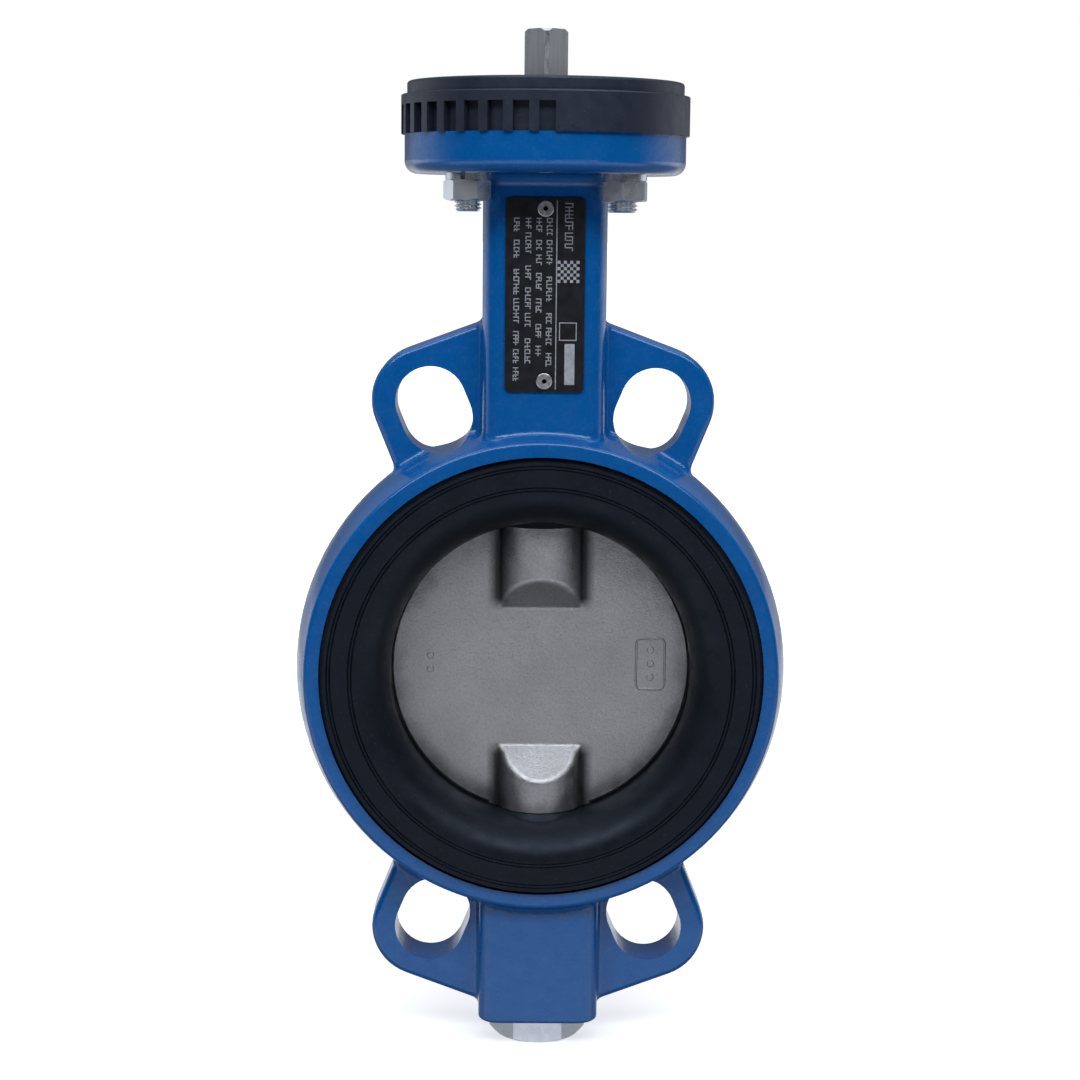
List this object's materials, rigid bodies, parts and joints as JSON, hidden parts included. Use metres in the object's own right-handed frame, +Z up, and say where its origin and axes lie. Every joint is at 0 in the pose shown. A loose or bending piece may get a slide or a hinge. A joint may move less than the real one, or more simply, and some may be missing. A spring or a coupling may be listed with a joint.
{
  "type": "wafer butterfly valve",
  "caption": "Wafer butterfly valve with an enamelled ring body, slotted ears, rubber seat, stainless disc turned by a square stem, and a notched plate on its top flange.",
  "frame": {"origin": "where the pipe axis crosses the stem axis, at the centre of the closed disc", "axes": "+Y along the pipe axis, downstream; +Z up along the stem, towards the square drive end; +X to the right seen from upstream"},
  "size_m": [0.1618, 0.093, 0.3341],
  "materials": {
    "blue_enamel": "gloss enamel over cast iron",
    "seat_rubber": "moulded matt",
    "cast_stainless": "blasted casting",
    "stem_steel": "ground",
    "zinc_steel": "bright zinc plated",
    "dark_plastic": "moulded satin",
    "black_plate": "printed satin",
    "rivet_aluminium": "bright",
    "bush_plastic": "machined",
    "seal_rubber": "moulded",
    "spring_steel": "blackened",
    "gasket_fibre": "compressed fibre"
  },
  "bodies": {
    "valve": {"valve_body": "blue_enamel", "seat_liner": "seat_rubber", "notch_plate": "dark_plastic", "flange_bolts": "zinc_steel", "flat_washers": "zinc_steel", "spring_washers": "zinc_steel", "flange_nuts": "zinc_steel", "name_plate": "black_plate", "plate_rivets": "rivet_aluminium", "bottom_plug": "zinc_steel", "plug_gasket": "gasket_fibre", "thrust_pad": "bush_plastic", "neck_bushing": "bush_plastic", "top_bushing": "bush_plastic", "lower_bushing": "bush_plastic", "neck_o_rings": "seal_rubber", "lower_o_ring": "seal_rubber", "dust_seal": "seal_rubber", "thrust_washer": "stem_steel"},
    "disc_and_stems": {"disc": "cast_stainless", "drive_stem": "stem_steel", "lower_stem": "stem_steel", "retaining_ring": "spring_steel"}
  },
  "joints": [
    {"name": "disc_turn", "type": "hinge", "parent": "valve", "child": "disc_and_stems", "pos_m": [0, 0, 0], "axis": [0, 0, 1], "range_deg": [0, 90]}
  ]
}
